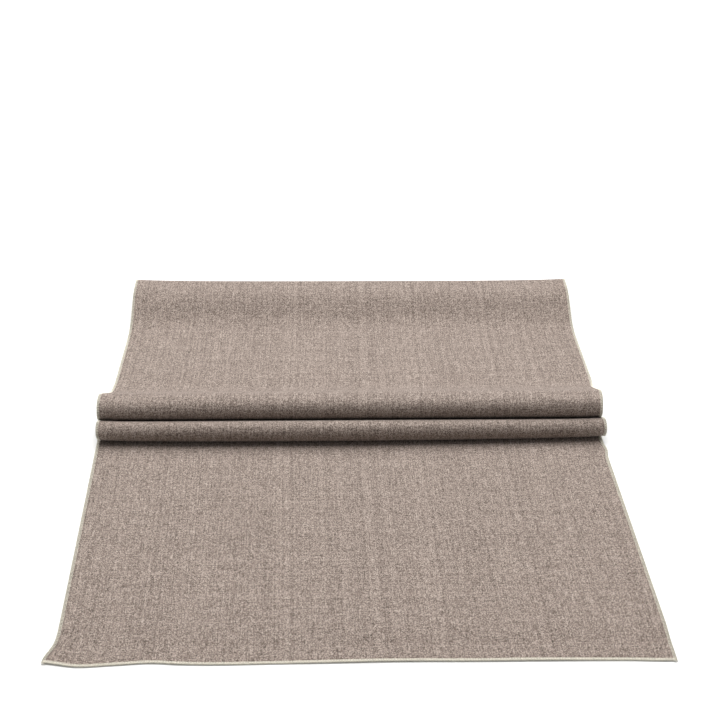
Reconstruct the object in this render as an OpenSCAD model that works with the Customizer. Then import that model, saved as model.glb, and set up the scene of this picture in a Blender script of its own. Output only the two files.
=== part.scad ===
// Linen table runner with serged edges, laid out in two rolled folds.
// The cloth is one sheet. It starts at the front hem, runs back along the table, doubles over
// itself twice in rolled folds, runs on to a soft back fold and returns underneath to the front.
// X is across the width, +Y points to the back fold, Z is up. Millimetres.

/* [Cloth] */
// Width of the runner across its cut side edges
cloth_w = 500; // [350:10:600]
// Length of the cloth from hem to hem, measured along the sheet
cloth_len = 1400; // [1350:10:1400]
// Thickness of the woven linen
cloth_t = 0.8; // [0.6:0.1:1]

/* [Serged edge] */
// Width of the band that the looper threads cover
serge_w = 3; // [2:0.5:4]
// Thickness that the loopers press the linen to, between them
core_t = 0.3; // [0.2:0.1:0.4]
// How far the interlocked loopers stand out past the cut edge
purl_w = 0.6; // [0.3:0.1:1]
// Width and depth of the needle thread, which pulls down flush with the cloth
needle_t = 0.3; // [0.2:0.05:0.35]

/* [Panels] */
// Height from one layer of cloth to the next where they lie flat on each other
layer_gap = 2; // [1.8:0.1:2.2]
// Length at the front hem that lies on the table, in front of the layer underneath
front_lip = 16; // [8:1:16]
// Reach of the front panel, from the front hem to the lower hidden bend
front_reach = 366; // [365:1:370]
// Distance from the front hem to the middle of the back fold's bend
back_fold_at = 585; // [583:1:588]
// Height of the soft back fold, between the middles of its two layers
back_fold_h = 24.2; // [23:0.1:26]
// Length of the flat top of the back fold
back_top = 14; // [11:1:20]

/* [Rolled folds] */
// Bend radius of the lower visible roll
lower_roll_r = 9.7; // [9.6:0.1:9.8]
// Bend radius of the upper visible roll
upper_roll_r = 11.2; // [11:0.1:11.4]
// Distance from the front hem to the middle of the lower roll
lower_roll_at = 301; // [300:1:302]
// Length of the flat crest on top of the upper roll
crest_top = 6; // [3:1:10]
// Bend radius of the lower hidden bend
lower_bend_r = 4.5; // [4.4:0.1:4.6]
// Bend radius of the upper hidden bend
upper_bend_r = 1.6; // [1.6:0.1:1.7]
// Length of the flat layer under the upper roll
upper_flat = 2.3; // [1.5:0.1:2.5]

/* [Hidden] */

linen_colour = [0.66, 0.60, 0.56];
thread_colour = [0.90, 0.88, 0.80];

half_t = cloth_t / 2;
half_w = cloth_w / 2;
bend_step = 7.5; // degrees of bend between two points of the outline

// A stretch of cloth is [length, degrees that it turns towards its face side].
function straight(l) = [l, 0];
function bend(r, a) = [r * abs(a) * PI / 180, a];

// A slope of angle a between two opposite bends, which shifts the cloth sideways by h.
// side is 1 to shift towards the face and -1 to shift away from it.
function slope(h, a, r1, r2, side) = [
    bend(r1, side * a),
    straight((h - (r1 + r2) * (1 - cos(a))) / sin(a)),
    bend(r2, -side * a)
];

// How far a slope reaches forwards
function slope_run(h, a, r1, r2) =
    (h - (r1 + r2) * (1 - cos(a))) / sin(a) * cos(a) + (r1 + r2) * sin(a);

// Heights of the middle of the cloth, upwards from the layer that lies on the table
under_z = half_t;
panel_z = under_z + layer_gap;
lower_roll_z = panel_z + layer_gap;
lower_bend_top = panel_z + 2 * lower_bend_r;
upper_bend_z = lower_bend_top + layer_gap;
lower_roll_top = lower_roll_z + 2 * lower_roll_r;
upper_roll_z = upper_bend_z + 2 * upper_bend_r;
upper_roll_top = upper_roll_z + 2 * upper_roll_r;

// The front panel's step up, from the table to the top of the layer underneath
lip_a = 6;
lip_r = 60;
lip_run = slope_run(layer_gap, lip_a, lip_r, lip_r);

// The layers inside the lower roll, which slope between its hidden bend and its round front
inner_a = 10;
inner_r = 20;
inner_run = slope_run(lower_bend_top - lower_roll_z, inner_a, inner_r, inner_r);
between_a = 27;
between_r = 8;
between_h = lower_roll_top - upper_bend_z;
upper_roll_at = lower_roll_at + slope_run(between_h, between_a, between_r, between_r) - upper_flat;

// The rise to the back fold
valley_len = 8;
rise_a = 28;
rise_r = 60;
shoulder_r = 45;
back_z = under_z + back_fold_h;
rise_run = slope_run(back_z - panel_z, rise_a, rise_r, shoulder_r);

// The back of the upper roll: a round shoulder, a steep slope and a long gentle tail to the panel
crest_r = 18;
crest_a = 33.5;
foot_r = 40;
tail_a = 4;
tail_r = 200;

// How far the steep slope and the tail have to drop and to run between the bends around them
bends_drop = crest_r * (1 - cos(crest_a)) + foot_r * (cos(tail_a) - cos(crest_a))
    + tail_r * (1 - cos(tail_a));
bends_run = crest_r * sin(crest_a) + foot_r * (sin(crest_a) - sin(tail_a)) + tail_r * sin(tail_a);
drop = upper_roll_top - panel_z - bends_drop;
run = back_fold_at - back_top - rise_run - valley_len - bends_run - crest_top - upper_roll_at;
roll_back_len = (drop * cos(tail_a) - run * sin(tail_a)) / sin(crest_a - tail_a);
tail_len = (run * sin(crest_a) - drop * cos(crest_a)) / sin(crest_a - tail_a);

lay_over = concat(
    [straight(front_lip)],
    slope(layer_gap, lip_a, lip_r, lip_r, 1),
    [straight(front_reach - front_lip - lip_run), bend(lower_bend_r, 180)],
    slope(lower_bend_top - lower_roll_z, inner_a, inner_r, inner_r, 1),
    [straight(front_reach - inner_run - lower_roll_at), bend(lower_roll_r, -180)],
    slope(between_h, between_a, between_r, between_r, -1),
    [bend(upper_bend_r, 180), straight(upper_flat), bend(upper_roll_r, -180)],
    [straight(crest_top), bend(crest_r, -crest_a), straight(roll_back_len)],
    [bend(foot_r, crest_a - tail_a), straight(tail_len), bend(tail_r, tail_a), straight(valley_len)],
    slope(back_z - panel_z, rise_a, rise_r, shoulder_r, 1),
    [straight(back_top), bend(back_fold_h / 2, -180)]
);

function total(stretches, i = 0) = i < len(stretches) ? stretches[i][0] + total(stretches, i + 1) : 0;

// What is left of the cloth returns underneath, and its hem ends a little behind the front hem.
lay = concat(lay_over, [straight(cloth_len - total(lay_over))]);

// Points [y, z, heading] along one stretch, from a start point
function along(p, stretch) =
    let (
        l = stretch[0],
        a = stretch[1],
        n = max(1, ceil(abs(a) / bend_step)),
        chord = a == 0 ? l : l * sin(abs(a) / 2) / (abs(a) * PI / 360)
    )
    a == 0
        ? [[p[0] + l * cos(p[2]), p[1] + l * sin(p[2]), p[2]]]
        : [for (i = [1 : n])
            let (
                part = a * i / n,
                c = chord * sin(abs(part) / 2) / sin(abs(a) / 2),
                dir = p[2] + part / 2
            )
            [p[0] + c * cos(dir), p[1] + c * sin(dir), p[2] + part]];

function walk(p, stretches, i = 0) =
    i == len(stretches)
        ? []
        : let (pts = along(p, stretches[i])) concat(pts, walk(pts[len(pts) - 1], stretches, i + 1));

start = [0, under_z, 0];
raw = concat([start], walk(start, lay));
raw_y = [for (p = raw) p[0]];
shift_y = (max(raw_y) + half_t + min(raw_y) - purl_w) / 2;
path = [for (p = raw) [p[0] - shift_y, p[1], p[2]]];
last = len(path) - 1;

// A point n millimetres to the face side of the middle of the cloth
function off(p, n) = [p[0] - n * sin(p[2]), p[1] + n * cos(p[2])];

// The path, made longer by e at both ends
function extended(e) = [for (i = [0 : last])
    i == 0 ? [path[0][0] - e * cos(path[0][2]), path[0][1] - e * sin(path[0][2]), path[0][2]]
    : i == last ? [path[i][0] + e * cos(path[i][2]), path[i][1] + e * sin(path[i][2]), path[i][2]]
    : path[i]];

// A band of the sheet between two heights off its middle, from x0 to x1 across the width
module band(n0, n1, x0, x1, e = 0) {
    line = extended(e);
    outline = concat(
        [for (p = line) off(p, n0)],
        [for (i = [last : -1 : 0]) off(line[i], n1)]
    );
    translate([x0, 0, 0])
        rotate([90, 0, 90])
            linear_extrude(x1 - x0)
                polygon(outline);
}

// A bar in a side edge: from in0 to in1 inwards from the cut edge. side is -1 left, 1 right.
module side_bar(side, in0, in1, n0, n1, e = 0) {
    a = side * (half_w - in0);
    b = side * (half_w - in1);
    band(n0, n1, min(a, b), max(a, b), e);
}

// The frame of a hem: Y runs inwards from the cut edge, and +Z is the face side.
module at_front_hem() translate([0, path[0][0], path[0][1]]) children();
module at_back_hem() translate([0, path[last][0], path[last][1]]) mirror([0, 0, 1]) children();

// A bar in a hem, which ends where the side edges' own bands begin
module hem_bar(in0, in1, n0, n1, inset) {
    x = half_w - inset;
    translate([-x, in0, n0]) cube([2 * x, in1 - in0, n1 - n0]);
}

module side_upper_looper(side) {
    side_bar(side, -purl_w, serge_w, core_t / 2, half_t, purl_w);
    side_bar(side, -purl_w, 0, 0, core_t / 2, purl_w);
}

module side_lower_looper(side) {
    side_bar(side, -purl_w, serge_w, -half_t, -core_t / 2, purl_w);
    side_bar(side, -purl_w, 0, -core_t / 2, 0, purl_w);
}

module side_needle(side) side_bar(side, serge_w, serge_w + needle_t, half_t - needle_t, half_t);

module hem_upper_looper() {
    hem_bar(-purl_w, serge_w, core_t / 2, half_t, serge_w + needle_t);
    hem_bar(-purl_w, 0, 0, core_t / 2, serge_w + needle_t);
}

module hem_lower_looper() {
    hem_bar(-purl_w, serge_w, -half_t, -core_t / 2, serge_w + needle_t);
    hem_bar(-purl_w, 0, -core_t / 2, 0, serge_w + needle_t);
}

module hem_needle() hem_bar(serge_w, serge_w + needle_t, half_t - needle_t, half_t, serge_w + needle_t);

module hem_threads() {
    hem_upper_looper();
    hem_lower_looper();
    hem_needle();
}

// The whole sheet, less the room that the threads press into its four edges
module linen_panel() {
    color(linen_colour)
        difference() {
            band(-half_t, half_t, -half_w, half_w);
            for (side = [-1, 1]) {
                side_upper_looper(side);
                side_lower_looper(side);
                side_needle(side);
            }
            at_front_hem() hem_threads();
            at_back_hem() hem_threads();
        }
}

module front_edge_upper_looper() color(thread_colour) at_front_hem() hem_upper_looper();
module front_edge_lower_looper() color(thread_colour) at_front_hem() hem_lower_looper();
module front_edge_needle_thread() color(thread_colour) at_front_hem() hem_needle();
module back_edge_upper_looper() color(thread_colour) at_back_hem() hem_upper_looper();
module back_edge_lower_looper() color(thread_colour) at_back_hem() hem_lower_looper();
module back_edge_needle_thread() color(thread_colour) at_back_hem() hem_needle();
module left_edge_upper_looper() color(thread_colour) side_upper_looper(-1);
module left_edge_lower_looper() color(thread_colour) side_lower_looper(-1);
module left_edge_needle_thread() color(thread_colour) side_needle(-1);
module right_edge_upper_looper() color(thread_colour) side_upper_looper(1);
module right_edge_lower_looper() color(thread_colour) side_lower_looper(1);
module right_edge_needle_thread() color(thread_colour) side_needle(1);

linen_panel();
front_edge_upper_looper();
front_edge_lower_looper();
front_edge_needle_thread();
back_edge_upper_looper();
back_edge_lower_looper();
back_edge_needle_thread();
left_edge_upper_looper();
left_edge_lower_looper();
left_edge_needle_thread();
right_edge_upper_looper();
right_edge_lower_looper();
right_edge_needle_thread();
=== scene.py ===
import math

import bpy
import numpy as np
from mathutils import Matrix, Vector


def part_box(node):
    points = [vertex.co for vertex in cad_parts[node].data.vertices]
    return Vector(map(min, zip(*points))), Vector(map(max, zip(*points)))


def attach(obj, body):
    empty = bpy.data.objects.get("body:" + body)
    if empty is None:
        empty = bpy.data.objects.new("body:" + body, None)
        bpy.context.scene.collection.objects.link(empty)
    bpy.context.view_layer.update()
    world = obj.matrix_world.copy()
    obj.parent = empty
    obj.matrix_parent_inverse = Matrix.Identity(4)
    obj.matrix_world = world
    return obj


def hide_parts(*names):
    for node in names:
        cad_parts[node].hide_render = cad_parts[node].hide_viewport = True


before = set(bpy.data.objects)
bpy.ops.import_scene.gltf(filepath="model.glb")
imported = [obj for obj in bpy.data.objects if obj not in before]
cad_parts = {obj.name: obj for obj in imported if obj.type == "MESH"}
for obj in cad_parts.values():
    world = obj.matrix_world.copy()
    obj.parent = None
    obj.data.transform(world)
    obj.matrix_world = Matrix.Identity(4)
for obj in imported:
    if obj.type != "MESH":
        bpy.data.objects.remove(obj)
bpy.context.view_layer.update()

mm = 0.001
needleInset = 3 * mm  # the needle thread runs this far inside the front hem
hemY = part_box("front_edge_needle_thread")[0].y - needleInset

# The cloth as it was cut and woven, and how finely its mesh is divided
cloth = {
    "width": 500 * mm,
    "length": 1400 * mm,
    "thickness": 0.7 * mm,
    "threadSpacing": 0.65 * mm,
    "columns": 121,
    "edgeColumns": (0, 0.7, 1.4, 2.1, 2.8, 3.5, 4.2, 5),  # mm in from each side, close together at the seam
    "hemRows": 7,
    "flatRow": 5.5 * mm,
    "bendRow": 5 * mm,
    "bendStep": 9,  # degrees
}

# How the cloth is laid, from the front hem to the back hem. Radii and heights are to the middle of the
# cloth. A slope is its angle in degrees, then the radii of the bends into it and out of it.
lay = {
    "tableGap": 0.4 * mm,
    "layerGap": 2 * mm,
    "rollGap": 0.9 * mm,  # the lower roll rests on the panel, but its thicker seams hold its ends off
    "hem": 5 * mm,
    "frontLip": 16 * mm,
    "lip": (6, 60 * mm, 60 * mm),
    "frontReach": 366 * mm,
    "lowerBendRadius": 4.5 * mm,
    "inner": (10, 20 * mm, 20 * mm),
    "lowerRollAt": 304.3 * mm,  # how far the middle of each roll is from the front hem
    "lowerRollRadius": 10.5 * mm,
    "between": (30, 8 * mm, 8 * mm),
    "upperBendRadius": 1.55 * mm,
    "upperRollAt": 321 * mm,
    "upperRollRadius": 11.2 * mm,
    "crestTop": 6 * mm,
    "crestAngle": 31.5,
    "shoulderRadius": 18 * mm,
    "footRadius": 50 * mm,
    "tailAngle": 4,
    "tailEndRadius": 200 * mm,
    "valley": 8 * mm,
    "rise": (28, 60 * mm, 45 * mm),
    "backTop": 14 * mm,
    "backFoldAt": 585 * mm,
    "backFoldHeight": 24.2 * mm,
}

# Small departures from a perfect lay, as hands leave them
ease = {
    "lowerRollTaper": -0.03,  # the lower roll thins to the right
    "lowerRollPinch": 0.092,  # and towards both of its ends
    "upperRollTaper": 0.03,  # and the upper one thickens
    "lowerRollSkew": 1.3 * mm,  # how far the right end of each roll lies back from its middle
    "upperRollSkew": 0.8 * mm,
    "lowerRollBow": 2.7 * mm,  # how far the middle of the lower roll bows forward
    "lowerRollSag": 0.12,  # the rolls are slacker below than above
    "upperRollSag": 0.06,
    "lowerRollSpread": 1.3 * mm,  # how far the lower roll's ends bulge sideways
    "lowerRollSpreadReach": 14 * mm,
    "backSpread": 1.1 * mm,  # how much farther right the back panel's right edge lies
    "panelBulge": 2.2 * mm,  # and the front panel's right edge, just before it goes under the rolls
    "panelBulgeAt": 281 * mm,
    "panelBulgeReach": 8 * mm,
    "betweenTwist": 1,  # degrees less of slope at the right end than in the middle
    "crestTwist": 1.2,
    "backFoldDip": 2 * mm,
    "edgeLift": 0.4 * mm,  # the stiff seam holds the edge up
    "edgeLiftReach": 12 * mm,
    "groove": 0.5 * mm,  # the needle thread pulls the cloth in
    "grooveWidth": 0.6 * mm,
    # how far right the middle line lies, where each stretch starts
    "wander": {"hem": 3.8 * mm, "lowerBend": -5 * mm, "lowerRoll": -0.8 * mm, "upperRoll": -3 * mm,
               "rollBack": -2.8 * mm, "tail": 2 * mm, "backTop": 2 * mm, "end": 2 * mm},
    # the same for the layer below, by its distance from the front hem
    "underWander": [(0, 3.8 * mm), (300 * mm, -3.2 * mm), (366 * mm, -2.5 * mm), (420 * mm, 1 * mm),
                    (590 * mm, 2 * mm)],
    # the left front corner spreads outwards, and is pulled back and lifted a little
    "cornerFlare": 8.6 * mm,
    "cornerBack": 3 * mm,
    "cornerLift": 0.6 * mm,
    "cornerReach": 27 * mm,
    "cornerBreadth": 70 * mm,
    # waves in the front hem: where across, how wide, how far forward and how high
    "hemWaves": [(-224 * mm, 18 * mm, 2 * mm, 0), (-172 * mm, 18 * mm, -1.8 * mm, 0),
                 (-115 * mm, 30 * mm, 0.6 * mm, 0), (30 * mm, 60 * mm, -1.2 * mm, 0.2 * mm),
                 (140 * mm, 50 * mm, -0.6 * mm, 0.2 * mm), (242 * mm, 20 * mm, 1.1 * mm, 0)],
    "hemWaveReach": 70 * mm,
    # soft ripples in the panels that lie free: their height, lengths and phases, and where they fade
    "ripple": 0.5 * mm,
    "rippleAcross": (41 * mm, 23 * mm),
    "rippleAlong": (57 * mm, 90 * mm),
    "ripplePhase": (1.1, 0.6, 2.0),
    "frontFade": 60 * mm,
    "backFade": 40 * mm,
}


# A stretch of cloth is (name, length, degrees that it turns towards its face)
def straight(name, length):
    return (name, length, 0.0)


def bend(name, radius, degrees):
    return (name, radius * math.radians(abs(degrees)), degrees)


def slope(name, height, degrees, radiusIn, radiusOut, side):
    turn = math.radians(degrees)
    level = height - (radiusIn + radiusOut) * (1 - math.cos(turn))
    return [bend(name + "In", radiusIn, side * degrees),
            straight(name, level / math.sin(turn)),
            bend(name + "Out", radiusOut, -side * degrees)]


def slopeRun(height, degrees, radiusIn, radiusOut):
    # how far a slope reaches along the table
    turn = math.radians(degrees)
    level = height - (radiusIn + radiusOut) * (1 - math.cos(turn))
    return level / math.tan(turn) + (radiusIn + radiusOut) * math.sin(turn)


def stretchesAt(across):
    # across runs from -1 at the left edge to 1 at the right edge
    gap = lay["layerGap"]
    taper, pinch = ease["lowerRollTaper"], ease["lowerRollPinch"]
    lowerSag, upperSag = ease["lowerRollSag"], ease["upperRollSag"]
    lowerBend, upperBend = lay["lowerBendRadius"], lay["upperBendRadius"]
    lowerRoll = lay["lowerRollRadius"] * (1 + taper * across - pinch * across ** 2)
    upperRoll = lay["upperRollRadius"] * (1 + ease["upperRollTaper"] * across)
    rollGap = lay["rollGap"] + (gap - lay["rollGap"]) * across ** 10
    bow = ease["lowerRollBow"] * (1 - across ** 2)
    lowerRollAt = lay["lowerRollAt"] + ease["lowerRollSkew"] * across - bow
    upperRollAt = lay["upperRollAt"] + ease["upperRollSkew"] * across
    backFold = lay["backFoldHeight"] - ease["backFoldDip"] * (1 - across ** 4)
    panel = lay["tableGap"] + gap
    lowerBendTop = panel + 2 * lowerBend
    upperBendZ = lowerBendTop + gap
    lowerRollTop = panel + rollGap + 2 * lowerRoll
    upperRollTop = upperBendZ + 2 * upperBend + 2 * upperRoll

    betweenAngle, *betweenRadii = lay["between"]
    lip = (gap, *lay["lip"])
    inner = (lowerBendTop - panel - rollGap, *lay["inner"])
    between = (lowerRollTop - upperBendZ, betweenAngle - ease["betweenTwist"] * across, *betweenRadii)
    rise = (backFold - gap, *lay["rise"])
    # how far the top of each roll leans over its foot
    lowerLean = 2 * lowerRoll * lowerSag
    upperLean = 2 * upperRoll * upperSag
    shoulder, foot, tailEnd = lay["shoulderRadius"], lay["footRadius"], lay["tailEndRadius"]
    steep = math.radians(lay["crestAngle"] - ease["crestTwist"] * across)
    shallow = math.radians(lay["tailAngle"])

    # the roll's back and the tail behind it fill the height and the distance that are left
    drop = (upperRollTop - panel - shoulder * (1 - math.cos(steep)) - tailEnd * (1 - math.cos(shallow))
            - foot * (math.cos(shallow) - math.cos(steep)))
    run = (lay["backFoldAt"] - lay["backTop"] - slopeRun(*rise) - lay["valley"] - tailEnd * math.sin(shallow)
           - foot * (math.sin(steep) - math.sin(shallow)) - shoulder * math.sin(steep)
           - lay["crestTop"] - upperRollAt + upperLean)
    rollBack = (drop * math.cos(shallow) - run * math.sin(shallow)) / math.sin(steep - shallow)
    tail = (run * math.sin(steep) - drop * math.cos(steep)) / math.sin(steep - shallow)
    over = [
        straight("hem", lay["hem"]),
        straight("frontLip", lay["frontLip"] - lay["hem"]),
        *slope("lip", *lip, 1),
        straight("frontPanel", lay["frontReach"] - lay["frontLip"] - slopeRun(*lip)),
        bend("lowerBend", lowerBend, 180),
        *slope("inner", *inner, 1),
        straight("innerFlat", lay["frontReach"] - slopeRun(*inner) - lowerRollAt),
        bend("lowerRoll", lowerRoll * (1 + lowerSag), -90),
        bend("lowerRollTop", lowerRoll * (1 - lowerSag), -90),
        *slope("between", *between, -1),
        bend("upperBend", upperBend, 180),
        straight("upperFlat", lowerRollAt - lowerLean + slopeRun(*between) - upperRollAt),
        bend("upperRoll", upperRoll * (1 + upperSag), -90),
        bend("upperRollTop", upperRoll * (1 - upperSag), -90),
        straight("crest", lay["crestTop"]),
        bend("shoulder", shoulder, -math.degrees(steep)),
        straight("rollBack", rollBack),
        bend("foot", foot, math.degrees(steep - shallow)),
        straight("tail", tail),
        bend("tailEnd", tailEnd, math.degrees(shallow)),
        straight("valley", lay["valley"]),
        *slope("rise", *rise, 1),
        straight("backTop", lay["backTop"]),
        bend("backFold", backFold / 2, -180),
    ]
    return over + [straight("underLayer", cloth["length"] - sum(s[1] for s in over))]


def stepsOf(stretch):
    # rows along a stretch: fine round the bends, coarser where the cloth lies flat
    name, length, degrees = stretch
    if name == "hem":
        return cloth["hemRows"]
    if degrees:
        return max(2, math.ceil(abs(degrees) / cloth["bendStep"]), math.ceil(length / cloth["bendRow"]))
    return max(1, math.ceil(length / cloth["flatRow"]))


def walk(stretches, steps):
    # points, headings and lengths along the cloth, starting at the front hem
    y, z, heading, gone = 0.0, lay["tableGap"], 0.0, 0.0
    rows = [(y, z, heading, gone)]
    for (name, length, degrees), count in zip(stretches, steps):
        for i in range(1, count + 1):
            part = i / count
            if degrees:
                radius = length / math.radians(degrees)
                turned = heading + math.radians(degrees) * part
                rows.append((y + radius * (math.sin(turned) - math.sin(heading)),
                             z - radius * (math.cos(turned) - math.cos(heading)),
                             turned, gone + length * part))
            else:
                rows.append((y + length * part * math.cos(heading),
                             z + length * part * math.sin(heading),
                             heading, gone + length * part))
        y, z, heading, gone = rows[-1]
    return np.array(rows)


def swell(distance, reach):
    # 1 in the middle, fading smoothly on both sides
    return np.exp(-(distance / reach) ** 2)


def midSurface():
    half = cloth["width"] / 2
    seamed = half - np.array(cloth["edgeColumns"]) * mm
    inside = np.linspace(-seamed[-1], seamed[-1], cloth["columns"])[1:-1]
    xs = np.concatenate([-seamed, inside, seamed[::-1]])
    middle = stretchesAt(0.0)
    steps = [stepsOf(s) for s in middle]
    grid = np.array([walk(stretchesAt(x / half), steps) for x in xs])  # column, row, (y, z, heading, length)
    starts = dict(zip([s[0] for s in middle] + ["end"], np.cumsum([0] + [s[1] for s in middle])))
    s = grid[:, :, 3]
    x = np.repeat(xs[:, None], grid.shape[1], 1)
    y = grid[:, :, 0] + hemY
    z = grid[:, :, 1].copy()

    # the sheet was laid a little askew: its middle line wanders, and the layer below follows the panel
    wander = np.interp(s, [starts[name] for name in ease["wander"]], list(ease["wander"].values()))
    below = np.interp(grid[:, :, 0], *np.array(ease["underWander"]).T)
    x = x + np.where(s < starts["underLayer"], wander, below)

    rollMiddle = (starts["lowerRoll"] + starts["betweenIn"]) / 2
    bulge = swell(s - rollMiddle, ease["lowerRollSpreadReach"])
    x = x + ease["lowerRollSpread"] * (xs / half)[:, None] * bulge

    toRight = np.clip(xs / half, 0, 1)[:, None]
    backKeys = [starts["upperRollTop"], starts["shoulder"], starts["backTop"], cloth["length"]]
    x = x + ease["backSpread"] * toRight * np.interp(s, backKeys, [0, 1, 1, 1])
    x = x + ease["panelBulge"] * toRight ** 6 * swell(s - ease["panelBulgeAt"], ease["panelBulgeReach"])

    # the stiff seam holds the edge up, and its needle thread sinks into the cloth
    fromSide = half - np.abs(xs)[:, None]
    fromHem = np.minimum(s, cloth["length"] - s)
    fromEdge = np.minimum(fromSide, fromHem)
    z += ease["edgeLift"] * swell(fromEdge, ease["edgeLiftReach"])
    fromNeedle = fromEdge - seam["band"] - ease["grooveWidth"]
    z -= ease["groove"] * swell(fromNeedle, ease["grooveWidth"]) * (s < starts["lowerBend"])

    # waves in the front hem
    fade = swell(s, ease["hemWaveReach"])
    for place, width, forward, lift in ease["hemWaves"]:
        wave = fade * swell(xs[:, None] - place, width)
        y -= forward * wave
        z += lift * wave

    # soft ripples in the panels that lie free
    frontFree = np.clip((starts["lowerBend"] - s) / ease["frontFade"], 0, 1)
    backFree = np.clip((s - starts["tail"]) / ease["backFade"], 0, 1) * (s < starts["riseIn"])
    (acrossA, acrossB), (alongA, alongB) = ease["rippleAcross"], ease["rippleAlong"]
    phaseA, phaseB, phaseC = ease["ripplePhase"]
    wave = (np.sin(xs[:, None] / acrossA + phaseA) * np.sin(s / alongA + phaseB)
            + np.sin(xs[:, None] / acrossB + s / alongB + phaseC))
    z += ease["ripple"] * 0.5 * (wave / 2 + 1) * (frontFree + backFree)

    # the left front corner flares and lifts
    inward = (xs + half)[:, None]
    near = np.exp(-2 * (s / ease["cornerReach"]) ** 2)
    x -= ease["cornerFlare"] * near * np.exp(-2 * (inward / ease["cornerBreadth"]) ** 2)
    corner = near * np.exp(-2 * (inward / ease["cornerReach"]) ** 2)
    y += ease["cornerBack"] * corner
    z += ease["cornerLift"] * corner
    return np.stack([x, y, z], 2), s, xs + half


def normalsOf(grid):
    dx = np.gradient(grid, axis=0)
    ds = np.gradient(grid, axis=1)
    n = np.cross(dx, ds)
    return n / np.linalg.norm(n, axis=2, keepdims=True)


def makeMesh(name, verts, faces, uvs=None):
    mesh = bpy.data.meshes.new(name)
    mesh.from_pydata(verts.tolist(), [], faces.tolist())
    if uvs is not None:
        layer = mesh.uv_layers.new(name="weave")
        loops = np.zeros(len(mesh.loops), dtype=np.int32)
        mesh.loops.foreach_get("vertex_index", loops)
        layer.data.foreach_set("uv", uvs[loops].astype(np.float32).ravel())
    mesh.shade_smooth()
    obj = bpy.data.objects.new(name, mesh)
    bpy.context.scene.collection.objects.link(obj)
    return obj


def makeSheet(grid, s, across):
    # two skins, each half a thickness from the middle surface, joined by a wall round the rim
    cols, rows = grid.shape[:2]
    normal = normalsOf(grid)
    fromSide = np.minimum(across, cloth["width"] - across)[:, None]
    fromEdge = np.minimum(fromSide, np.minimum(s, cloth["length"] - s))
    # pressed under the outer half of the band, and back to full thickness half a band inside it
    thin = 1 - seam["pressed"] * np.clip(1.5 - fromEdge / seam["band"], 0, 1)
    half = (cloth["thickness"] / 2 * thin)[:, :, None]
    top, bottom = grid + normal * half, grid - normal * half
    verts = np.concatenate([top.reshape(-1, 3), bottom.reshape(-1, 3)])
    uv = np.stack([np.repeat(across[:, None], rows, 1), s], 2).reshape(-1, 2)
    index = np.arange(cols * rows).reshape(cols, rows)
    a, b, c, d = index[:-1, :-1], index[1:, :-1], index[1:, 1:], index[:-1, 1:]
    faces = np.stack([a, b, c, d], 2).reshape(-1, 4)
    under = faces[:, ::-1] + cols * rows
    rim = np.concatenate([index[:, 0], index[-1, 1:], index[-2::-1, -1], index[0, -2:0:-1]])
    nextRim = np.roll(rim, -1)
    wall = np.stack([rim, rim + cols * rows, nextRim + cols * rows, nextRim], 1)
    return makeMesh("linen_sheet", verts, np.concatenate([faces, under, wall]), np.concatenate([uv, uv]))


def addNode(tree, kind, inputs=None, **settings):
    # inputs: socket name or number to a value, or to a socket that is linked in
    node = tree.nodes.new(kind)
    for key, value in settings.items():
        setattr(node, key, value)
    for key, value in (inputs or {}).items():
        if isinstance(value, bpy.types.NodeSocket):
            tree.links.new(value, node.inputs[key])
        else:
            node.inputs[key].default_value = value
    return node


def toLinear(hexColour):
    parts = [int(hexColour[i:i + 2], 16) / 255 for i in (1, 3, 5)]
    return tuple(c / 12.92 if c <= 0.04045 else ((c + 0.055) / 1.055) ** 2.4 for c in parts) + (1.0,)


def newMaterial(name):
    material = bpy.data.materials.new(name)
    material.use_nodes = True
    tree = material.node_tree
    tree.nodes.clear()
    return material, tree


linen = {
    "dark": "#3C322A",
    "middle": "#85766D",
    "light": "#BFB1A6",
    "warpTones": (0.3, 0.65),  # how much whole threads differ, and each along its length
    "weftTones": (0.18, 0.52),
    "warpSeed": 3.7,
    "weftSeed": 11.3,
    "threadSeedStep": 7.31,  # sets each thread's noise apart from its neighbour's
    "fleckTone": 0.77,  # how much one crossing differs from the next
    "slubTone": 0.8,
    "thinTone": 0.7,  # how dark a thin place is, as a share of how light a slub is
    "streakLength": 16 * mm,
    "slubLength": 2 * mm,
    "slubShare": 0.006,
    "bumpStrength": 0.6,
    "bumpDistance": 0.25 * mm,
    "fleckHeight": 0.4,
    "roughness": 0.88,
    "ior": 1.5,
    "specular": 0.25,
    "sheen": 0.1,
    "sheenRoughness": 0.6,
}


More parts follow.
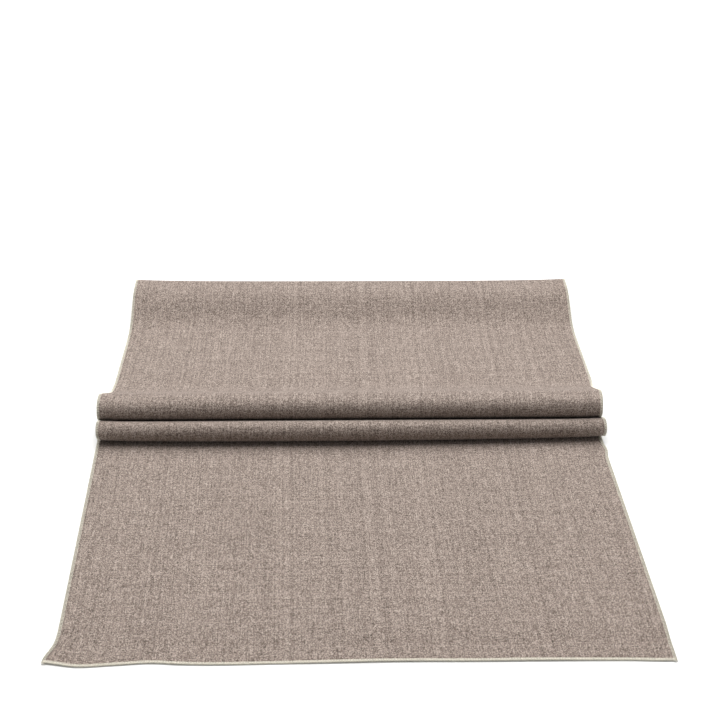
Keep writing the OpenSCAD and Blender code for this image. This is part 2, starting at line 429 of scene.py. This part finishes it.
def addThreads(tree, place, run, seed, ownTone, streakTone):
    # threads side by side along one UV axis, each running along the other
    number = addNode(tree, "ShaderNodeMath", {0: place}, operation="FLOOR").outputs[0]
    inside = addNode(tree, "ShaderNodeMath", {0: place}, operation="FRACT").outputs[0]
    angle = addNode(tree, "ShaderNodeMath", {0: inside, 1: math.pi}, operation="MULTIPLY").outputs[0]
    crown = addNode(tree, "ShaderNodeMath", {0: angle}, operation="SINE").outputs[0]
    row = addNode(tree, "ShaderNodeMath", {0: number, 1: linen["threadSeedStep"], 2: seed},
                  operation="MULTIPLY_ADD").outputs[0]
    own = addNode(tree, "ShaderNodeTexWhiteNoise", {"W": row}, noise_dimensions="1D").outputs["Value"]
    along = addNode(tree, "ShaderNodeMath", {0: run, 1: 1 / linen["streakLength"]},
                    operation="MULTIPLY").outputs[0]
    where = addNode(tree, "ShaderNodeCombineXYZ", {0: along, 1: row}).outputs[0]
    streak = addNode(tree, "ShaderNodeTexNoise", {"Vector": where, "Scale": 1.0, "Detail": 1.0},
                     noise_dimensions="2D").outputs[0]
    # now and then a thread has a light slub in it, or a thin dark place
    piece = addNode(tree, "ShaderNodeMath", {0: run, 1: 1 / linen["slubLength"]},
                    operation="MULTIPLY").outputs[0]
    whole = addNode(tree, "ShaderNodeMath", {0: piece}, operation="FLOOR").outputs[0]
    spot = addNode(tree, "ShaderNodeCombineXYZ", {0: whole, 1: row}).outputs[0]
    chance = addNode(tree, "ShaderNodeTexWhiteNoise", {"Vector": spot},
                     noise_dimensions="2D").outputs["Value"]
    slub = addNode(tree, "ShaderNodeMath", {0: chance, 1: linen["slubShare"]},
                   operation="LESS_THAN").outputs[0]
    thin = addNode(tree, "ShaderNodeMath", {0: chance, 1: 1 - linen["slubShare"]},
                   operation="GREATER_THAN").outputs[0]
    tone = addNode(tree, "ShaderNodeMath", {0: own, 1: ownTone, 2: -0.5 * (ownTone + streakTone)},
                   operation="MULTIPLY_ADD").outputs[0]
    tone = addNode(tree, "ShaderNodeMath", {0: streak, 1: streakTone, 2: tone},
                   operation="MULTIPLY_ADD").outputs[0]
    tone = addNode(tree, "ShaderNodeMath", {0: slub, 1: linen["slubTone"], 2: tone},
                   operation="MULTIPLY_ADD").outputs[0]
    tone = addNode(tree, "ShaderNodeMath", {0: thin, 1: -linen["thinTone"] * linen["slubTone"], 2: tone},
                   operation="MULTIPLY_ADD").outputs[0]
    return number, crown, tone


def makeLinen():
    # plain-woven flax: uneven threads over and under one another, matt, with slubs
    material, tree = newMaterial("plain-woven linen")
    uv = addNode(tree, "ShaderNodeUVMap", uv_map="weave")
    counted = addNode(tree, "ShaderNodeVectorMath", {0: uv.outputs[0], 1: (1 / cloth["threadSpacing"],) * 3},
                      operation="MULTIPLY")
    place = addNode(tree, "ShaderNodeSeparateXYZ", {0: counted.outputs[0]}).outputs
    metres = addNode(tree, "ShaderNodeSeparateXYZ", {0: uv.outputs[0]}).outputs
    warpNumber, warpCrown, warpTone = addThreads(tree, place[0], metres[1], linen["warpSeed"],
                                                 *linen["warpTones"])
    weftNumber, weftCrown, weftTone = addThreads(tree, place[1], metres[0], linen["weftSeed"],
                                                 *linen["weftTones"])
    # at every second crossing the warp lies over the weft
    both = addNode(tree, "ShaderNodeMath", {0: warpNumber, 1: weftNumber}, operation="ADD").outputs[0]
    halved = addNode(tree, "ShaderNodeMath", {0: both, 1: 0.5}, operation="MULTIPLY").outputs[0]
    odd = addNode(tree, "ShaderNodeMath", {0: halved}, operation="FRACT").outputs[0]
    warpOnTop = addNode(tree, "ShaderNodeMath", {0: odd, 1: 0.25}, operation="GREATER_THAN").outputs[0]
    tone = addNode(tree, "ShaderNodeMix", {"Factor": warpOnTop, "A": weftTone, "B": warpTone}).outputs[0]
    crossing = addNode(tree, "ShaderNodeCombineXYZ", {0: warpNumber, 1: weftNumber}).outputs[0]
    fleck = addNode(tree, "ShaderNodeTexWhiteNoise", {"Vector": crossing},
                    noise_dimensions="2D").outputs["Value"]
    fleck = addNode(tree, "ShaderNodeMath",
                    {0: fleck, 1: linen["fleckTone"], 2: 0.5 - 0.5 * linen["fleckTone"]},
                    operation="MULTIPLY_ADD").outputs[0]
    tone = addNode(tree, "ShaderNodeMath", {0: tone, 1: fleck}, operation="ADD").outputs[0]
    ramp = addNode(tree, "ShaderNodeValToRGB", {0: tone})
    stops = ramp.color_ramp.elements
    stops[0].position, stops[0].color = 0.0, toLinear(linen["dark"])
    stops[1].position, stops[1].color = 1.0, toLinear(linen["light"])
    stops.new(0.5).color = toLinear(linen["middle"])

    over = addNode(tree, "ShaderNodeMix", {"Factor": warpOnTop, "A": weftCrown, "B": warpCrown}).outputs[0]
    under = addNode(tree, "ShaderNodeMix", {"Factor": warpOnTop, "A": warpCrown, "B": weftCrown}).outputs[0]
    height = addNode(tree, "ShaderNodeMath", {0: over, 1: under}, operation="MULTIPLY").outputs[0]
    height = addNode(tree, "ShaderNodeMath", {0: fleck, 1: linen["fleckHeight"], 2: height},
                     operation="MULTIPLY_ADD").outputs[0]
    relief = addNode(tree, "ShaderNodeBump", {"Strength": linen["bumpStrength"],
                                              "Distance": linen["bumpDistance"], "Height": height})
    shader = addNode(tree, "ShaderNodeBsdfPrincipled",
                     {"Base Color": ramp.outputs[0], "Normal": relief.outputs[0],
                      "Roughness": linen["roughness"], "IOR": linen["ior"],
                      "Specular IOR Level": linen["specular"], "Sheen Weight": linen["sheen"],
                      "Sheen Roughness": linen["sheenRoughness"]})
    addNode(tree, "ShaderNodeOutputMaterial", {"Surface": shader.outputs[0]})
    return material


thread = {
    "colour": "#EFEBDB",
    "shade": "#D5CFBE",
    "cloudSize": 1.6 * mm,
    "fibreSize": 0.15 * mm,
    "fibreHeight": 0.05 * mm,
    "bumpStrength": 0.4,
    "roughness": 0.62,
    "sheen": 0.15,
}


def makeThread():
    # spun polyester overlock thread: cream, softly shiny, its plies seen as a fine unevenness
    material, tree = newMaterial("spun overlock thread")
    place = addNode(tree, "ShaderNodeTexCoord").outputs["Object"]
    cloud = addNode(tree, "ShaderNodeTexNoise",
                    {"Vector": place, "Scale": 1 / thread["cloudSize"], "Detail": 2.0})
    ramp = addNode(tree, "ShaderNodeValToRGB", {0: cloud.outputs[0]})
    stops = ramp.color_ramp.elements
    stops[0].position, stops[0].color = 0.25, toLinear(thread["shade"])
    stops[1].position, stops[1].color = 0.6, toLinear(thread["colour"])
    fibre = addNode(tree, "ShaderNodeTexNoise",
                    {"Vector": place, "Scale": 1 / thread["fibreSize"], "Detail": 1.0})
    relief = addNode(tree, "ShaderNodeBump", {"Strength": thread["bumpStrength"],
                                              "Distance": thread["fibreHeight"], "Height": fibre.outputs[0]})
    shader = addNode(tree, "ShaderNodeBsdfPrincipled",
                     {"Base Color": ramp.outputs[0], "Roughness": thread["roughness"],
                      "Normal": relief.outputs[0], "Sheen Weight": thread["sheen"]})
    addNode(tree, "ShaderNodeOutputMaterial", {"Surface": shader.outputs[0]})
    return material


# The overlock seam: about 20 stitches to the inch on the hems and 16 on the sides
seam = {
    "band": 2.2 * mm,  # how far in from the edge the loops reach
    "overhang": 0.35 * mm,  # and how far out past it
    "hemSpacing": 1.25 * mm,
    "sideSpacing": 1.6 * mm,
    "loopRadius": 0.22 * mm,
    "needleRadius": 0.14 * mm,
    "arch": 0.46 * mm,  # how high the loops stand over the middle of the cloth
    "needleReach": 0.45,  # half of a needle stitch's length, as a share of the spacing
    "pressed": 0.4,  # how much of its thickness the cloth loses between the loopers
    "jitter": 0.07,
}


def makeStitch(name, points, radius):
    # one stitch of thread, with X along the edge, Y out of the cloth and Z up from its face
    curve = bpy.data.curves.new(name, "CURVE")
    curve.dimensions = "3D"
    curve.bevel_depth = radius
    curve.bevel_resolution = 0
    curve.use_fill_caps = True
    curve.resolution_u = 2
    spline = curve.splines.new("BEZIER")
    spline.bezier_points.add(len(points) - 1)
    for knot, place in zip(spline.bezier_points, points):
        knot.co = place
        knot.handle_left_type = knot.handle_right_type = "AUTO"
    obj = bpy.data.objects.new(name, curve)
    bpy.context.scene.collection.objects.link(obj)
    return obj


def makeStitches(step):
    band, arch, over, reach = seam["band"], seam["arch"], seam["overhang"], seam["needleReach"]
    # each loop rises from the needle line, arches over the band and turns round the cloth's edge
    side = [(step * 0.5, -band, 0.55 * arch), (step * 0.36, -band * 0.5, arch),
            (step * 0.1, over * 0.3, 0.8 * arch)]
    upper = [(-x, y, z) for x, y, z in side] + [(0, over, 0)] + side[::-1]
    low = over * 0.3  # the lower loops hide under the upper ones
    lower = [(x, min(y, low), -z) for x, y, z in upper]
    needle = [(-step * reach, -band - 0.1 * mm, 0.1 * mm), (0, -band - 0.15 * mm, 0.3 * mm),
              (step * reach, -band - 0.1 * mm, 0.1 * mm)]
    return {"upper_looper": makeStitch("upperLoop", upper, seam["loopRadius"]),
            "lower_looper": makeStitch("lowerLoop", lower, seam["loopRadius"]),
            "needle_thread": makeStitch("needleDash", needle, seam["needleRadius"])}


def stitchTree():
    tree = bpy.data.node_groups.new("stitches along an edge", "GeometryNodeTree")
    for name, kind in (("Edge", "NodeSocketGeometry"), ("Stitch", "NodeSocketObject"),
                       ("Spacing", "NodeSocketFloat"), ("Jitter", "NodeSocketFloat"),
                       ("Seed", "NodeSocketInt"), ("Thread", "NodeSocketMaterial")):
        tree.interface.new_socket(name, in_out="INPUT", socket_type=kind)
    tree.interface.new_socket("Stitches", in_out="OUTPUT", socket_type="NodeSocketGeometry")
    given = addNode(tree, "NodeGroupInput").outputs
    line = addNode(tree, "GeometryNodeMeshToCurve", {"Mesh": given["Edge"]})
    even = addNode(tree, "GeometryNodeResampleCurve", {"Curve": line.outputs[0], "Length": given["Spacing"]},
                   mode="LENGTH")
    face = addNode(tree, "GeometryNodeInputNamedAttribute", {"Name": "faceNormal"}, data_type="FLOAT_VECTOR")
    out = addNode(tree, "GeometryNodeInputNamedAttribute", {"Name": "outward"}, data_type="FLOAT_VECTOR")
    turn = addNode(tree, "FunctionNodeAxesToRotation", {0: face.outputs[0], 1: out.outputs[0]},
                   primary_axis="Z", secondary_axis="Y")
    low = addNode(tree, "ShaderNodeMath", {0: 1.0, 1: given["Jitter"]}, operation="SUBTRACT")
    high = addNode(tree, "ShaderNodeMath", {0: 1.0, 1: given["Jitter"]}, operation="ADD")
    size = addNode(tree, "FunctionNodeRandomValue", {"Seed": given["Seed"]}, data_type="FLOAT_VECTOR")
    tree.links.new(low.outputs[0], size.inputs[0])
    tree.links.new(high.outputs[0], size.inputs[1])
    stitch = addNode(tree, "GeometryNodeObjectInfo", {"Object": given["Stitch"]}, transform_space="ORIGINAL")
    rows = addNode(tree, "GeometryNodeInstanceOnPoints",
                   {"Points": even.outputs[0], "Instance": stitch.outputs["Geometry"],
                    "Rotation": turn.outputs[0], "Scale": size.outputs[0]})
    real = addNode(tree, "GeometryNodeRealizeInstances", {0: rows.outputs[0]})
    smooth = addNode(tree, "GeometryNodeSetShadeSmooth", {0: real.outputs[0]})
    painted = addNode(tree, "GeometryNodeSetMaterial", {0: smooth.outputs[0], "Material": given["Thread"]})
    addNode(tree, "NodeGroupOutput", {0: painted.outputs[0]})
    return tree


def edgeLine(name, points, face, outward):
    mesh = bpy.data.meshes.new(name)
    count = len(points)
    mesh.from_pydata(points.tolist(), [(i, i + 1) for i in range(count - 1)], [])
    for key, values in (("faceNormal", face), ("outward", outward)):
        layer = mesh.attributes.new(key, "FLOAT_VECTOR", "POINT")
        layer.data.foreach_set("vector", values.astype(np.float32).ravel())
    obj = bpy.data.objects.new(name, mesh)
    bpy.context.scene.collection.objects.link(obj)
    return obj


def sewRow(name, node, line, stitch, spacing, tree, material, seed):
    points, face, outward = line
    obj = edgeLine(name, points, face, outward)
    modifier = obj.modifiers.new("stitches", "NODES")
    sockets = {item.name: item.identifier for item in tree.interface.items_tree if item.in_out == "INPUT"}
    modifier.node_group = tree
    modifier[sockets["Stitch"]] = stitch
    modifier[sockets["Spacing"]] = spacing
    modifier[sockets["Jitter"]] = seam["jitter"]
    modifier[sockets["Seed"]] = seed
    modifier[sockets["Thread"]] = material
    bpy.context.view_layer.update()
    graph = bpy.context.evaluated_depsgraph_get()
    sewn = bpy.data.meshes.new_from_object(obj.evaluated_get(graph), preserve_all_data_layers=True,
                                           depsgraph=graph)
    obj.modifiers.remove(modifier)
    old = obj.data
    obj.data = sewn
    bpy.data.meshes.remove(old)
    sewn.name = name
    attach(obj, "root")
    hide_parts(node)
    return obj


def edgesOf(grid):
    # each edge as points, face normals and outward directions
    normal = normalsOf(grid)
    inset = 3  # the hems' stitches start where the side seams' band ends
    lines = {}
    for name, pick, inner in (("left", 0, 1), ("right", -1, -2)):
        lines[name] = (grid[pick], normal[pick], grid[pick] - grid[inner])
    for name, row, inner in (("front", 0, 1), ("back", -1, -2)):
        points, face = grid[inset:-inset, row], normal[inset:-inset, row]
        lines[name] = (points, face, points - grid[inset:-inset, inner])
    return {k: (p, f, o / np.linalg.norm(o, axis=1, keepdims=True)) for k, (p, f, o) in lines.items()}


grid, lengths, across = midSurface()
sheet = makeSheet(grid, lengths, across)
sheet.data.materials.append(makeLinen())
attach(sheet, "root")
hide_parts("linen_panel")
print("sheet:", len(sheet.data.polygons), "faces")

creamThread = makeThread()
tree = stitchTree()
threads = []
for edgeName, line in edgesOf(grid).items():
    spacing = seam["hemSpacing"] if edgeName in ("front", "back") else seam["sideSpacing"]
    for kind, stitch in makeStitches(spacing).items():
        node = f"{edgeName}_edge_{kind}"
        seed = len(threads) + 1
        threads.append(sewRow(node + "_stitches", node, line, stitch, spacing, tree, creamThread, seed))
        bpy.data.objects.remove(stitch)
print("seams:", sum(len(t.data.polygons) for t in threads), "faces in", len(threads), "threads")

studio = {
    "floor": "#F4F4F3",
    "floorSize": 8.0,
    "softboxPower": 119,
    "softboxSize": (2.4, 2.6),
    "softboxAt": (0.0, 0.95, 2.3),
    "worldStrength": 0.3,
}


def makeFloor():
    size = studio["floorSize"]
    verts = np.array([(-size, -size, 0), (size, -size, 0), (size, size, 0), (-size, size, 0)])
    floor = makeMesh("floor", verts, np.array([[0, 1, 2, 3]]))
    material, tree = newMaterial("matt white paper")
    shader = addNode(tree, "ShaderNodeBsdfPrincipled",
                     {"Base Color": toLinear(studio["floor"]), "Roughness": 0.9})
    addNode(tree, "ShaderNodeOutputMaterial", {"Surface": shader.outputs[0]})
    floor.data.materials.append(material)


def makeLights():
    world = bpy.data.worlds.new("studio")
    world.use_nodes = True
    bpy.context.scene.world = world
    world.node_tree.nodes["Background"].inputs[0].default_value = (1, 1, 1, 1)
    world.node_tree.nodes["Background"].inputs[1].default_value = studio["worldStrength"]
    # the softbox hangs behind the runner and above it, turned to face it
    light = bpy.data.lights.new("overhead softbox", "AREA")
    light.energy = studio["softboxPower"]
    light.shape = "RECTANGLE"
    light.size, light.size_y = studio["softboxSize"]
    lamp = bpy.data.objects.new("overhead softbox", light)
    bpy.context.scene.collection.objects.link(lamp)
    lamp.location = studio["softboxAt"]
    lamp.rotation_euler = (-lamp.location).to_track_quat("-Z", "Y").to_euler()


view = {
    "lens": 65,
    "sensor": 36,
    "yaw": 1.8,  # degrees
    "pitch": 32.49,
    "roll": 0.75,
    "side": -28 * mm,
    "fromHem": 746 * mm,
    "height": 763 * mm,
}


def makeCamera():
    data = bpy.data.cameras.new("camera")
    data.lens = view["lens"]
    data.sensor_width = view["sensor"]
    data.clip_end = 50
    camera = bpy.data.objects.new("camera", data)
    bpy.context.scene.collection.objects.link(camera)
    camera.matrix_world = (Matrix.Translation((view["side"], hemY - view["fromHem"], view["height"]))
                           @ Matrix.Rotation(math.radians(-view["yaw"]), 4, "Z")
                           @ Matrix.Rotation(math.radians(90 - view["pitch"]), 4, "X")
                           @ Matrix.Rotation(math.radians(view["roll"]), 4, "Z"))
    bpy.context.scene.camera = camera


makeFloor()
makeLights()
makeCamera()
bpy.context.scene.view_settings.view_transform = "Standard"
print("studio ready")
